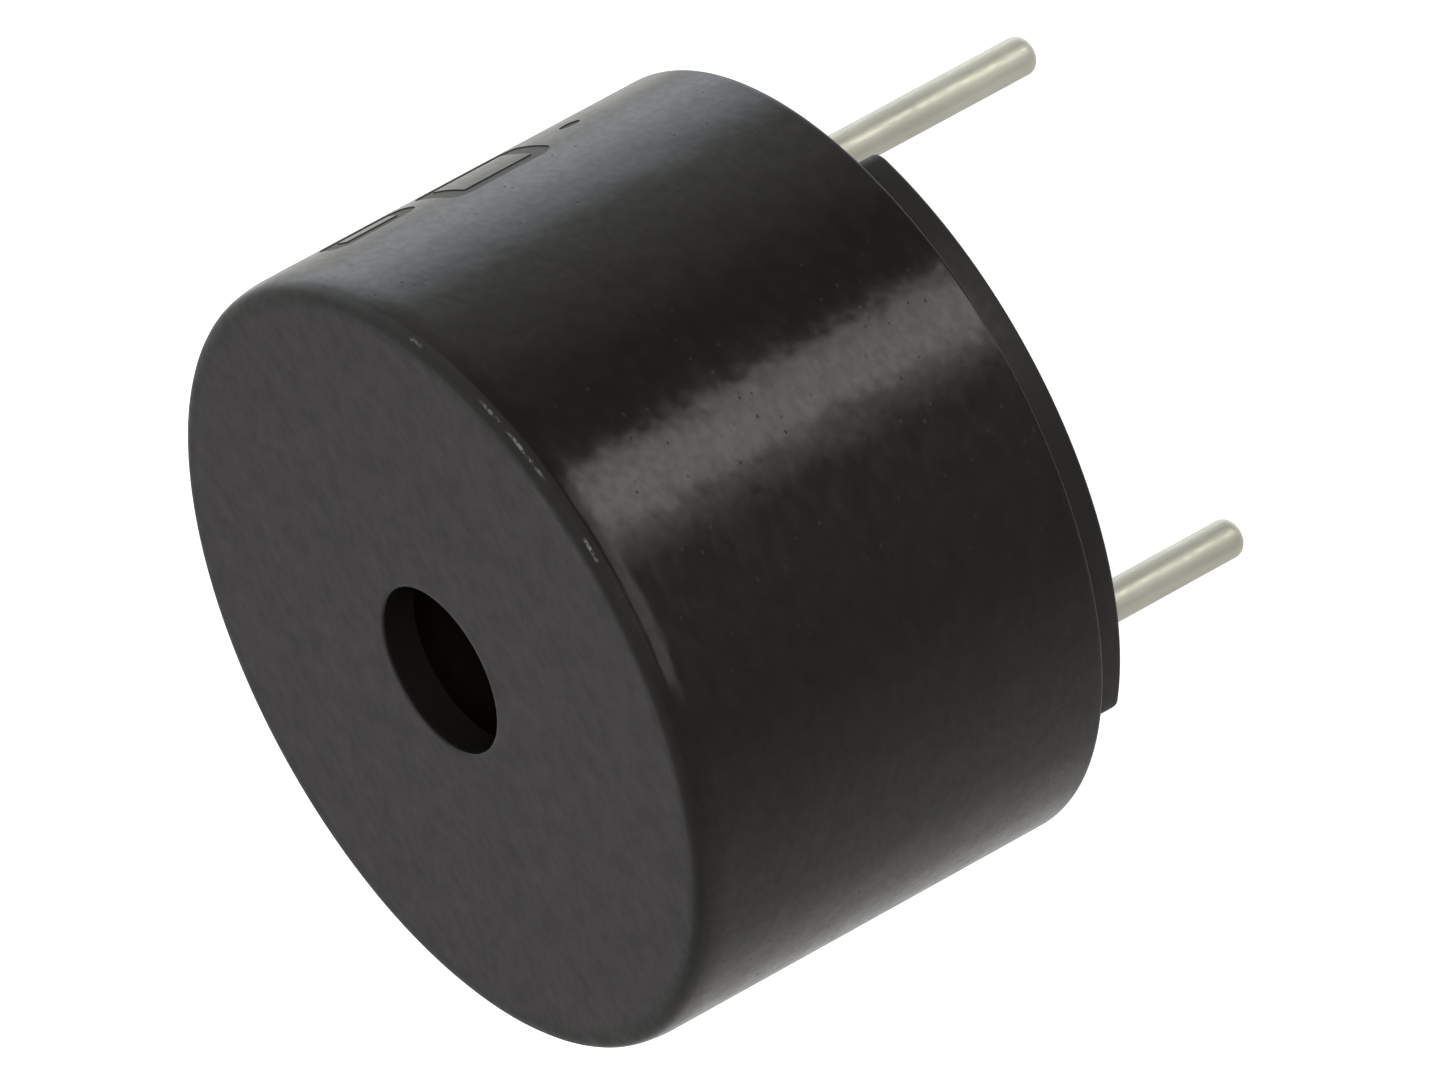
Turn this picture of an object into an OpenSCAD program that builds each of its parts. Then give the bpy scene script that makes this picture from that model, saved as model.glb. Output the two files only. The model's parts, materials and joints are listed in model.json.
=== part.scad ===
// Self-driven magnetic buzzer with two straight pins, in millimetres.
// The origin is on the circuit board that the buzzer stands on, under the middle of the case.
// +Z points to the sound hole, and the pins lie on X and run down through the board.

/* [Case] */
// Diameter of the case
case_d = 12; // [10:0.1:16]
// Height of the case without its stand-offs
case_h = 7.15; // [5.9:0.05:12]
// Thickness of the side wall around the open end
side_wall = 0.75; // [0.6:0.05:1.1]
// Thickness of the front wall
front_wall = 0.55; // [0.4:0.05:1]
// Radius of the front edge
front_edge_r = 0.2; // [0.05:0.05:0.4]
// Diameter of the sound hole
sound_hole_d = 2.6; // [1.5:0.1:4]
// Height of the air chamber between the front wall and the support ring
chamber_h = 1.1; // [0.8:0.05:1.5]

/* [Stand-offs] */
// Height of the two arcs that keep the case off the board
standoff_h = 0.45; // [0.2:0.05:1]
// Distance of the arcs from the case's outer wall
standoff_inset = 0.15; // [0.05:0.05:0.3]
// Distance of the arcs from the bore
standoff_step = 0.05; // [0.05:0.01:0.15]
// Angle that each arc spans, with its rounded ends
standoff_angle = 98; // [40:1:140]

/* [Pins] */
// Distance between the centres of the two pins
pin_pitch = 7.6; // [6.3:0.1:9.2]
// Diameter of a pin
pin_d = 0.6; // [0.4:0.05:0.8]
// Length of a pin below the stand-offs
pin_length = 4.9; // [2:0.1:10]
// Radius of the rounded edge of a pin's tip
pin_tip_r = 0.2; // [0.05:0.05:0.2]
// Side of the square shank inside the seal and the board
pin_shank_w = 0.45; // [0.4:0.05:0.5]
// Side of the flat square head on the board's upper side
pin_head_w = 0.7; // [0.7:0.05:0.8]
// Thickness of that head
pin_head_t = 0.15; // [0.1:0.05:0.3]

/* [Diaphragm and support ring] */
// Width of the lip around the diaphragm
lip_w = 0.5; // [0.3:0.05:0.8]
// Height of the lip above the step that carries the diaphragm
lip_h = 0.5; // [0.3:0.05:0.8]
// Width of that step
step_w = 0.4; // [0.3:0.05:0.6]
// Thickness of the diaphragm
diaphragm_t = 0.06; // [0.04:0.01:0.12]
// Diameter of the armature disc
armature_d = 3.2; // [2:0.1:4]
// Thickness of the armature disc
armature_t = 0.35; // [0.2:0.05:0.6]

/* [Magnet and coil] */
// Gap between the core and the diaphragm
air_gap = 0.25; // [0.15:0.05:0.4]
// Height of the core above the magnet
core_rise = 0.1; // [0:0.05:0.3]
// Diameter of the core
core_d = 1.9; // [1.4:0.1:2.2]
// Diameter of the core's neck in the yoke plate
core_neck_d = 1.3; // [0.8:0.1:1.3]
// Width of the magnet's ring
magnet_w = 1.2; // [0.8:0.05:1.5]
// Gap between the magnet and the coil
coil_gap = 0.3; // [0.1:0.05:0.5]
// Width of the outer winding
sense_w = 0.5; // [0.3:0.05:0.6]
// Thickness of the yoke plate
plate_t = 0.6; // [0.4:0.05:1]
// Diameter of a winding's wire ends
lead_d = 0.1; // [0.06:0.01:0.14]
// Diameter of the holes that the wire ends pass through
lead_hole_d = 0.3; // [0.2:0.05:0.4]

/* [Board and seal] */
// Thickness of the board inside the case
board_t = 0.6; // [0.4:0.05:1]
// Thickness of the epoxy seal
seal_t = 1.35; // [1.2:0.05:2]
// Depth of the seal below the rim
seal_recess = 0.1; // [0:0.05:0.3]
// Clearance between a shank's corners and its hole in the board
pin_hole_gap = 0.03; // [0.02:0.01:0.05]
// Width and height of the solder fillet at a pin
pin_solder_w = 0.3; // [0.1:0.05:0.4]
// Diameter of the solder at a wire end
lead_solder_d = 0.5; // [0.3:0.05:0.5]
// Clearance between the inner pieces and what they fit in
fit_gap = 0.05; // [0.02:0.01:0.08]
// Clearance around a pin's head in the yoke plate
plate_pin_gap = 0.25; // [0.15:0.05:0.4]

/* [Transistor and resistor] */
// Length of the transistor's body
transistor_l = 2.9; // [2:0.1:3.1]
// Width of the transistor's body
transistor_w = 1.3; // [1.2:0.1:1.4]
// Height of the transistor
transistor_h = 1; // [0.8:0.05:1.1]
// Width over the transistor's legs
transistor_span = 2.4; // [2:0.1:2.6]
// Distance between the centres of its two paired legs
leg_pitch = 1.9; // [1.2:0.1:2]
// Width of a leg
leg_w = 0.4; // [0.2:0.05:0.5]
// Thickness of a leg
leg_t = 0.12; // [0.08:0.02:0.16]
// Length of the resistor
resistor_l = 1.6; // [1:0.1:1.7]
// Width of the resistor
resistor_w = 0.8; // [0.5:0.05:0.85]
// Height of the resistor
resistor_h = 0.45; // [0.3:0.05:0.6]
// Gap between the transistor and the resistor
part_gap = 0.45; // [0.2:0.05:0.5]

/* [Hidden] */
$fn = 96;

// How far a cut runs past the face that it starts from.
cut = 1;

// Radii, from the wall inwards.
case_r = case_d / 2;
bore_r = case_r - side_wall;
ring_r = bore_r - fit_gap;
chamber_r = ring_r - lip_w;
diaphragm_r = chamber_r - fit_gap;
pocket_r = chamber_r - step_w;
magnet_r = pocket_r - fit_gap;
magnet_hole_r = magnet_r - magnet_w;
coil_r = magnet_hole_r - coil_gap;
drive_r = coil_r - sense_w;
core_r = core_d / 2;
core_neck_r = core_neck_d / 2;
winding_r = core_r + fit_gap;

// Levels, from the front downwards to the diaphragm, and from the rim upwards to the yoke plate.
case_top = standoff_h + case_h;
chamber_top = case_top - front_wall;
shoulder_z = chamber_top - chamber_h;
step_z = shoulder_z - lip_h;
core_top = step_z - air_gap;
magnet_top = core_top - core_rise;
coil_top = magnet_top - fit_gap;
seal_bottom = standoff_h + seal_recess;
board_bottom = seal_bottom + seal_t;
board_top = board_bottom + board_t;
plate_top = board_top + plate_t;

// Pins and their solder, which stops short of the wall.
pin_r = pin_d / 2;
pin_x = pin_pitch / 2;
pin_hole_r = pin_shank_w / sqrt(2) + pin_hole_gap;
plate_pin_r = pin_head_w / sqrt(2) + plate_pin_gap;
pin_solder_r = min(pin_hole_r + pin_solder_w, bore_r - fit_gap - pin_x);

// Stand-off arcs, on the rim of the side wall.
standoff_r = bore_r + standoff_step;
standoff_w = case_r - standoff_inset - standoff_r;
standoff_mid_r = standoff_r + standoff_w / 2;
standoff_end_angle = asin(standoff_w / 2 / standoff_mid_r);
standoff_arc = standoff_angle - 2 * standoff_end_angle;

// Wire ends, each under the middle of its winding and this far to either side of +Y.
drive_lead_angle = 16;
sense_lead_angle = 35;
drive_lead_r = (winding_r + drive_r) / 2;
sense_lead_r = (drive_r + coil_r) / 2;
lead_r = lead_d / 2;
lead_solder_r = lead_solder_d / 2;
lead_end = board_bottom - lead_solder_r / 2;

// Where the transistor and the resistor lie on the board's underside.
part_y = -bore_r / 2;
resistor_x = transistor_l / 2 + part_gap + resistor_w / 2;

// A disc or a ring between two levels, whose outer edge has the radius r and whose hole has hole_r.
module disc(r, bottom, top, hole_r = 0) {
    translate([0, 0, bottom])
        difference() {
            cylinder(r = r, h = top - bottom);
            if (hole_r > 0)
                translate([0, 0, -cut])
                    cylinder(r = hole_r, h = top - bottom + 2 * cut);
        }
}

// The corner that a rounding of radius r takes off a square edge, with the corner at the origin.
module edge_cut(r) {
    difference() {
        translate([-r, -r])
            square(r + cut);
        translate([-r, -r])
            circle(r);
    }
}

// Puts its children at one pin: side is 1 for the positive pin and -1 for the negative one.
module at_pin(side) {
    translate([side * pin_x, 0, 0])
        children();
}

// Puts its children at both wire ends of a winding.
module at_leads(r, angle) {
    for (side = [-1, 1])
        rotate([0, 0, 90 + side * angle])
            translate([r, 0, 0])
                children();
}

// Puts its children at all four wire ends.
module at_all_leads() {
    at_leads(drive_lead_r, drive_lead_angle)
        children();
    at_leads(sense_lead_r, sense_lead_angle)
        children();
}

// One raised arc, centred on +Y.
module standoff() {
    rotate([0, 0, 90 - standoff_arc / 2])
        rotate_extrude(angle = standoff_arc)
            translate([standoff_r, 0])
                square([standoff_w, standoff_h]);
    for (side = [-1, 1])
        rotate([0, 0, 90 + side * standoff_arc / 2])
            translate([standoff_mid_r, 0, 0])
                cylinder(d = standoff_w, h = standoff_h);
}

// The case: a cup with a stepped inside, closed at the front.
module housing() {
    color([0.11, 0.11, 0.115]) {
        rotate_extrude()
            difference() {
                translate([0, standoff_h])
                    square([case_r, case_h]);
                translate([case_r, case_top])
                    edge_cut(front_edge_r);
                translate([0, standoff_h - cut])
                    square([bore_r, shoulder_z - standoff_h + cut]);
                translate([0, standoff_h])
                    square([chamber_r, chamber_top - standoff_h]);
                translate([0, chamber_top - cut])
                    square([sound_hole_d / 2, front_wall + 2 * cut]);
            }
        standoff();
        rotate([0, 0, 180])
            standoff();
    }
}

// The ring that carries the diaphragm on its step and holds the magnet in its pocket.
module support_ring() {
    color([0.8, 0.68, 0.36])
        rotate_extrude()
            polygon([
                [pocket_r, plate_top],
                [ring_r, plate_top],
                [ring_r, shoulder_z],
                [chamber_r, shoulder_z],
                [chamber_r, step_z],
                [pocket_r, step_z],
            ]);
}

module diaphragm() {
    color([0.62, 0.62, 0.6])
        disc(diaphragm_r, step_z, step_z + diaphragm_t);
}

module armature_disc() {
    color([0.5, 0.5, 0.5])
        disc(armature_d / 2, step_z + diaphragm_t, step_z + diaphragm_t + armature_t);
}

module ring_magnet() {
    color([0.2, 0.2, 0.21])
        disc(magnet_r, plate_top, magnet_top, magnet_hole_r);
}

// The core stands on the yoke plate, with its neck riveted in the plate.
module pole_core() {
    color([0.58, 0.58, 0.6]) {
        disc(core_r, plate_top, core_top);
        disc(core_neck_r, board_top, plate_top);
    }
}

module yoke_plate() {
    color([0.66, 0.66, 0.66])
        difference() {
            disc(ring_r, board_top, plate_top, core_neck_r);
            for (side = [-1, 1])
                at_pin(side)
                    disc(plate_pin_r, board_top - cut, plate_top + cut);
            at_all_leads()
                disc(lead_hole_d / 2, board_top - cut, plate_top + cut);
        }
}

// One winding, with its two wire ends running from its middle down to the board's underside.
module winding(hole_r, r, wire_r, wire_angle) {
    disc(r, plate_top, coil_top, hole_r);
    at_leads(wire_r, wire_angle)
        disc(lead_r, lead_end, (plate_top + coil_top) / 2);
}

module drive_winding() {
    color([0.72, 0.36, 0.16])
        winding(winding_r, drive_r, drive_lead_r, drive_lead_angle);
}

module sense_winding() {
    color([0.62, 0.2, 0.12])
        winding(drive_r, coil_r, sense_lead_r, sense_lead_angle);
}

module circuit_board() {
    color([0.22, 0.4, 0.24])
        difference() {
            disc(ring_r, board_bottom, board_top);
            for (side = [-1, 1])
                at_pin(side)
                    disc(pin_hole_r, board_bottom - cut, board_top + cut);
            at_all_leads()
                disc(lead_hole_d / 2, board_bottom - cut, board_top + cut);
        }
}

// One leg of the transistor: a foot on the board and the stretch that rises into the body.
module transistor_leg() {
    leg_l = (transistor_span - transistor_w) / 2;
    translate([-leg_w / 2, transistor_w / 2, board_bottom - leg_t])
        cube([leg_w, leg_l, leg_t]);
    translate([-leg_w / 2, transistor_w / 2, board_bottom - transistor_h / 2 - leg_t])
        cube([leg_w, leg_t, transistor_h / 2 + leg_t]);
}

module drive_transistor() {
    color([0.16, 0.16, 0.17])
        translate([0, part_y, 0]) {
            translate([-transistor_l / 2, -transistor_w / 2, board_bottom - transistor_h])
                cube([transistor_l, transistor_w, transistor_h]);
            for (side = [-1, 1])
                translate([side * leg_pitch / 2, 0, 0])
                    transistor_leg();
            rotate([0, 0, 180])
                transistor_leg();
        }
}

module base_resistor() {
    color([0.85, 0.85, 0.82])
        translate([resistor_x - resistor_w / 2, part_y - resistor_l / 2, board_bottom - resistor_h])
            cube([resistor_w, resistor_l, resistor_h]);
}

// A square bar of width w on the axis, between two levels.
module square_bar(w, bottom, top) {
    translate([-w / 2, -w / 2, bottom])
        cube([w, w, top - bottom]);
}

// A straight pin: a round tail with a rounded tip, a square shank, and a square head on the board.
module pin() {
    rotate_extrude()
        difference() {
            translate([0, -pin_length])
                square([pin_r, seal_bottom + pin_length]);
            translate([pin_r, -pin_length])
                mirror([0, 1])
                    edge_cut(pin_tip_r);
        }
    square_bar(pin_shank_w, seal_bottom, board_top);
    square_bar(pin_head_w, board_top, board_top + pin_head_t);
}

module positive_pin() {
    color([0.75, 0.75, 0.68])
        at_pin(1)
            pin();
}

module negative_pin() {
    color([0.75, 0.75, 0.68])
        at_pin(-1)
            pin();
}

// The cone of solder around a pin, on the board's underside.
module pin_solder_cone() {
    fillet_r = pin_solder_r - pin_hole_r;
    rotate_extrude()
        difference() {
            translate([0, board_bottom - fillet_r])
                square([pin_solder_r, fillet_r]);
            translate([pin_solder_r, board_bottom - fillet_r])
                circle(fillet_r);
        }
}

// That cone with the pin's shank taken out of it.
module pin_solder() {
    difference() {
        pin_solder_cone();
        square_bar(pin_shank_w, seal_bottom, board_top);
    }
}

module positive_solder() {
    color([0.7, 0.7, 0.7])
        at_pin(1)
            pin_solder();
}

module negative_solder() {
    color([0.7, 0.7, 0.7])
        at_pin(-1)
            pin_solder();
}

// The half ball of solder around a wire end.
module lead_solder_ball() {
    translate([0, 0, board_bottom])
        difference() {
            sphere(r = lead_solder_r);
            translate([-cut, -cut, 0])
                cube(2 * cut);
        }
}

module lead_solder() {
    color([0.7, 0.7, 0.7])
        at_all_leads()
            difference() {
                lead_solder_ball();
                disc(lead_r, lead_end, board_bottom + cut);
            }
}

// The resin fills everything between the board and its own outer face.
module epoxy_seal() {
    color([0.09, 0.09, 0.09])
        difference() {
            disc(bore_r, seal_bottom, board_bottom);
            for (side = [-1, 1])
                at_pin(side) {
                    square_bar(pin_shank_w, seal_bottom - cut, board_bottom + cut);
                    pin_solder_cone();
                }
            at_all_leads()
                lead_solder_ball();
            drive_transistor();
            base_resistor();
        }
}

housing();
support_ring();
diaphragm();
armature_disc();
ring_magnet();
pole_core();
yoke_plate();
drive_winding();
sense_winding();
circuit_board();
drive_transistor();
base_resistor();
positive_pin();
negative_pin();
positive_solder();
negative_solder();
lead_solder();
epoxy_seal();
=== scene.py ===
import json
import math

import bmesh
import bpy
from mathutils import Matrix, Quaternion, Vector, noise


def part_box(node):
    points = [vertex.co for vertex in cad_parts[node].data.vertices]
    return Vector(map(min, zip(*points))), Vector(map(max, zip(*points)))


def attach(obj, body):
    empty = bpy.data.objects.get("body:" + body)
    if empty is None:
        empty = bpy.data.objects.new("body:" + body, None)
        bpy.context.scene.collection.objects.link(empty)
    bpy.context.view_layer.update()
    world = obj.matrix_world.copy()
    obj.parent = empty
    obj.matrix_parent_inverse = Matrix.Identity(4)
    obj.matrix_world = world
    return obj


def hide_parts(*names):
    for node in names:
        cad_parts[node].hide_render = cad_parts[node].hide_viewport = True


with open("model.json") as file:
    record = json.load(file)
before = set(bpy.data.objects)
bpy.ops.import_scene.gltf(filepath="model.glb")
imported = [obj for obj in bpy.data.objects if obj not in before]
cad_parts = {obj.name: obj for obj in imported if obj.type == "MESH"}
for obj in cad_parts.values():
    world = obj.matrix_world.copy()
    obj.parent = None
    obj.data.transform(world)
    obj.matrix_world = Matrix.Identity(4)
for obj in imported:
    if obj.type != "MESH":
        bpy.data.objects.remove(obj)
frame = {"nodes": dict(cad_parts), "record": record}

scene = bpy.context.scene
nodes = frame["nodes"]
mounts = {mount["name"]: mount for mount in frame["record"]["mounts"]}
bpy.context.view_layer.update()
mm = 0.001

# places that the frame gives, in metres
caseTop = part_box("housing")[1].z
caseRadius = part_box("housing")[1].x
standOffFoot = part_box("housing")[0].z
sealLow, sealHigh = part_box("epoxy_seal")
boreRadius = sealHigh.x
caseRim = sealLow.z - 0.1 * mm  # the rim reaches a little past the seal
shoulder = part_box("support_ring")[1].z
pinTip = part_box("positive_pin")[0].z
pinX = mounts["terminal_pins"]["dims"]["spacing_x_mm"] * mm / 2
pinRadius = mounts["terminal_pins"]["dims"]["stud_r_mm"] * mm
holeRadius = mounts["sound_hole"]["dims"]["r_mm"] * mm
frontWall = mounts["sound_hole"]["dims"]["length_mm"] * mm
middle = Vector((0, 0, (caseTop + sealLow.z) / 2))
print("frame loaded:", len(nodes), "nodes")


# camera, light and floor

def directionTo(turn, rise):
    # turn is measured from +X towards +Y, rise from the floor's plane, both in degrees
    turn, rise = math.radians(turn), math.radians(rise)
    return Vector((math.cos(turn) * math.cos(rise), math.sin(turn) * math.cos(rise), math.sin(rise)))


def cosine(degrees):
    return math.cos(math.radians(degrees))


# angles are in degrees, the lens and the sensor in millimetres, the clip in metres
cameraLook = {
    "turn": -78.391,  # where the camera stands, seen from the part
    "rise": 26.480,
    "roll": -118.646,
    "lens": 704,
    "sensor": 36,
    "distance": 398.805 * mm,
    "aim": (-0.490 * mm, 1.020 * mm, -1.870 * mm),  # from the middle of the case
    "clip": (0.01, 5),
}


def addCamera():
    data = bpy.data.cameras.new("productCamera")
    data.lens = cameraLook["lens"]
    data.sensor_width = cameraLook["sensor"]
    data.clip_start, data.clip_end = cameraLook["clip"]
    camera = bpy.data.objects.new("productCamera", data)
    scene.collection.objects.link(camera)
    back = directionTo(cameraLook["turn"], cameraLook["rise"])
    camera.location = middle + Vector(cameraLook["aim"]) + back * cameraLook["distance"]
    roll = Quaternion((0, 0, 1), math.radians(cameraLook["roll"]))
    camera.rotation_mode = "QUATERNION"
    camera.rotation_quaternion = back.to_track_quat("Z", "Y") @ roll
    scene.camera = camera


# lamps that face the middle of the case: directions in degrees, the rest in millimetres and watts
softBoxes = {
    "lowStrip": {
        "turn": -82, "rise": -10, "distance": 260,
        "width": 300, "height": 80,
        "watts": 0.068, "tint": (1.0, 0.98, 0.92),
    },
    "sideBox": {
        "turn": -58.3, "rise": -29, "distance": 260,
        "width": 79, "height": 105,
        "watts": 0.0475, "tint": (1.0, 0.972, 0.885),
    },
}


def addSoftBox(name, box):
    data = bpy.data.lights.new(name, "AREA")
    data.shape = "RECTANGLE"
    data.size = box["width"] * mm
    data.size_y = box["height"] * mm
    data.energy = box["watts"]
    data.color = box["tint"]
    lamp = bpy.data.objects.new(name, data)
    scene.collection.objects.link(lamp)
    direction = directionTo(box["turn"], box["rise"])
    lamp.location = middle + direction * box["distance"] * mm
    lamp.rotation_mode = "QUATERNION"
    lamp.rotation_quaternion = (-direction).to_track_quat("-Z", "Y")
    lamp.visible_camera = False


floorLook = {
    "size": 1.6,  # metres
    "colour": (0.9, 0.9, 0.9, 1),
    "roughness": 0.9,
    "glow": 0.75,
    "fillStrength": 2.4,
    "fillSpread": 14,  # degrees
}


def addFloor():
    bm = bmesh.new()
    bmesh.ops.create_grid(bm, x_segments=1, y_segments=1, size=floorLook["size"] / 2)
    bmesh.ops.translate(bm, verts=bm.verts, vec=(0, 0, pinTip))
    mesh = bpy.data.meshes.new("studioFloor")
    bm.to_mesh(mesh)
    bm.free()
    floor = bpy.data.objects.new("studioFloor", mesh)
    scene.collection.objects.link(floor)
    material = bpy.data.materials.new("paleFloor")
    material.use_nodes = True
    shader = material.node_tree.nodes["Principled BSDF"]
    shader.inputs["Base Color"].default_value = floorLook["colour"]
    shader.inputs["Roughness"].default_value = floorLook["roughness"]
    shader.inputs["Specular IOR Level"].default_value = 0
    shader.inputs["Emission Color"].default_value = (1, 1, 1, 1)
    shader.inputs["Emission Strength"].default_value = floorLook["glow"]
    mesh.materials.append(material)
    floor.visible_glossy = False  # the side wall mirrors the lamps that stand below the floor's level
    floor.visible_shadow = False


def addFloorFill():
    # soft light from the camera's side, so that no shadow shows on the floor
    data = bpy.data.lights.new("floorFill", "SUN")
    data.energy = floorLook["fillStrength"]
    data.angle = math.radians(floorLook["fillSpread"])
    fill = bpy.data.objects.new("floorFill", data)
    scene.collection.objects.link(fill)
    back = directionTo(cameraLook["turn"], cameraLook["rise"])
    fill.rotation_mode = "QUATERNION"
    fill.rotation_quaternion = (-back).to_track_quat("-Z", "Y")
    fill.visible_glossy = False


# soft upright panels all round, in degrees: the middle, how far the fade reaches, the part at full
# strength, and the share that is left above the horizon
backdropPanels = {
    "wholeCurve": {
        "turn": 101, "reach": 137, "full": 84,
        "strength": 0.39, "upper": 1.0, "tint": (1.0, 0.985, 0.96),
    },
    "rearCurve": {
        "turn": 75, "reach": 65, "full": 8,
        "strength": 0.325, "upper": 1.0, "tint": (1.0, 1.0, 1.0),
    },
    "farShoulder": {
        "turn": 139, "reach": 20, "full": 3,
        "strength": 0.10, "upper": 1.0, "tint": (1.0, 0.97, 0.98),
    },
    "glowPanel": {
        "turn": 45, "reach": 24, "full": 1,
        "strength": 0.69, "upper": 0.5, "tint": (0.75, 0.87, 1.0),
    },
    "lowGlow": {
        "turn": 4, "reach": 29, "full": 5,
        "strength": 0.06, "upper": 0.2, "tint": (0.82, 0.90, 1.0),
    },
    "sideGlow": {
        "turn": -64.5, "reach": 16, "full": 5,
        "strength": 0.91, "upper": 0.0, "tint": (1.0, 0.97, 0.90),
    },
    "farFill": {
        "turn": -115, "reach": 48, "full": 24,
        "strength": 0.12, "upper": 1.0, "tint": (1.0, 0.96, 0.92),
    },
}
# heights are over the horizon, in degrees
backdropLook = {
    "dim": 0.02,  # light from everywhere
    "seen": 1.0,  # what the camera sees beyond the floor
    "panelFade": (27, 50, 1, 0.42),  # the panels fade between these heights, from and to these shares
    "lowFade": (-24, -8),  # where their share above the horizon sets in
}
# a plain glow above, for the rounded edges
overheadGlow = {
    "fade": (38, 58),
    "strength": 0.20,
    "tint": (1, 0.96, 0.92),
}
# a glow over the horizon, for the front face in low views from behind
horizonGlow = {
    "turn": -45, "reach": 80, "full": 30,
    "fade": (4, 14),
    "strength": 0.35,
    "tint": (1, 1, 1),
}


def makeBackdrop():
    world = bpy.data.worlds.new("studioBackdrop")
    world.use_nodes = True
    scene.world = world
    tree = world.node_tree
    tree.nodes.clear()

    def node(kind, **links):
        made = tree.nodes.new(kind)
        for label, socket in links.items():
            tree.links.new(socket, made.inputs[label])
        return made

    def plainLight(colour, strength):
        light = node("ShaderNodeBackground")
        light.inputs["Color"].default_value = (*colour, 1)
        light.inputs["Strength"].default_value = strength
        return light

    look = node("ShaderNodeTexCoord").outputs["Generated"]  # the direction of the ray
    level = node("ShaderNodeVectorMath", Vector=look)
    level.operation = "MULTIPLY"
    level.inputs[1].default_value = (1, 1, 0)
    around = node("ShaderNodeVectorMath", Vector=level.outputs["Vector"])
    around.operation = "NORMALIZE"
    height = node("ShaderNodeSeparateXYZ", Vector=look).outputs["Z"]

    def fadeUp(fromDegrees, toDegrees, low, high):
        fade = node("ShaderNodeMapRange", Value=height)
        fade.interpolation_type = "SMOOTHSTEP"
        fade.inputs["From Min"].default_value = math.sin(math.radians(fromDegrees))
        fade.inputs["From Max"].default_value = math.sin(math.radians(toDegrees))
        fade.inputs["To Min"].default_value = low
        fade.inputs["To Max"].default_value = high
        return fade.outputs["Result"]

    def fadeAround(panel):
        towards = node("ShaderNodeVectorMath", Vector=around.outputs["Vector"])
        towards.operation = "DOT_PRODUCT"
        towards.inputs[1].default_value = directionTo(panel["turn"], 0)
        fade = node("ShaderNodeMapRange", Value=towards.outputs["Value"])
        fade.interpolation_type = "SMOOTHSTEP"
        fade.inputs["From Min"].default_value = cosine(panel["reach"])
        fade.inputs["From Max"].default_value = cosine(panel["full"])
        fade.inputs["To Max"].default_value = panel["strength"]
        return fade.outputs["Result"]

    def product(first, second):
        both = node("ShaderNodeMath")
        both.operation = "MULTIPLY"
        tree.links.new(first, both.inputs[0])
        tree.links.new(second, both.inputs[1])
        return both.outputs[0]

    def added(total, colour, strength):
        # one more light on top of the total
        light = plainLight(colour, 0)
        tree.links.new(strength, light.inputs["Strength"])
        both = node("ShaderNodeAddShader")
        tree.links.new(total.outputs[0], both.inputs[0])
        tree.links.new(light.outputs[0], both.inputs[1])
        return both

    panelFade = fadeUp(*backdropLook["panelFade"])
    total = plainLight((1, 1, 1), backdropLook["dim"])
    for panel in backdropPanels.values():
        lowShare = fadeUp(*backdropLook["lowFade"], 1, panel["upper"])
        total = added(total, panel["tint"], product(product(fadeAround(panel), panelFade), lowShare))
    overhead = fadeUp(*overheadGlow["fade"], 0, overheadGlow["strength"])
    total = added(total, overheadGlow["tint"], overhead)
    overHorizon = product(fadeAround(horizonGlow), fadeUp(*horizonGlow["fade"], 0, 1))
    total = added(total, horizonGlow["tint"], overHorizon)
    seen = plainLight((1, 1, 1), backdropLook["seen"])
    mix = node("ShaderNodeMixShader", Fac=node("ShaderNodeLightPath").outputs["Is Camera Ray"])
    tree.links.new(total.outputs[0], mix.inputs[1])
    tree.links.new(seen.outputs[0], mix.inputs[2])
    node("ShaderNodeOutputWorld", Surface=mix.outputs[0])


addCamera()
for boxName, box in softBoxes.items():
    addSoftBox(boxName, box)
addFloor()
addFloorFill()
makeBackdrop()
scene.view_settings.view_transform = "Standard"
print("studio: camera,", len(softBoxes), "soft boxes, floor and backdrop")


# shader node groups, which take places in millimetres

def startGroup(name, inputs, outputs):
    # inputs are name: default, outputs are names of values
    group = bpy.data.node_groups.new(name, "ShaderNodeTree")
    for label, value in inputs.items():
        kind = "NodeSocketVector" if label == "Place" else "NodeSocketFloat"
        socket = group.interface.new_socket(label, in_out="INPUT", socket_type=kind)
        if value is not None:
            socket.default_value = value
    for label in outputs:
        group.interface.new_socket(label, in_out="OUTPUT", socket_type="NodeSocketFloat")
    return group, group.nodes.new("NodeGroupInput"), group.nodes.new("NodeGroupOutput")


def maths(tree, operation, first, second=None):
    node = tree.nodes.new("ShaderNodeMath")
    node.operation = operation
    for slot, value in enumerate((first, second)):
        if value is None:
            continue
        if isinstance(value, (int, float)):
            node.inputs[slot].default_value = value
        else:
            tree.links.new(value, node.inputs[slot])
    return node.outputs[0]


def vectorMaths(tree, operation, first, second=None):
    node = tree.nodes.new("ShaderNodeVectorMath")
    node.operation = operation
    tree.links.new(first, node.inputs[0])
    if second is not None:
        node.inputs[1].default_value = second
    return node.outputs


def aroundAxis(tree, place):
    # a place's distance from Z, and its direction away from Z
    flat = vectorMaths(tree, "MULTIPLY", place, (1, 1, 0))["Vector"]
    return vectorMaths(tree, "LENGTH", flat)["Value"], vectorMaths(tree, "NORMALIZE", flat)["Vector"]


def facing(tree, away, turn):
    # cosine of the angle between a place's direction and one round Z
    return vectorMaths(tree, "DOT_PRODUCT", away, directionTo(turn, 0))["Value"]


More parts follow.
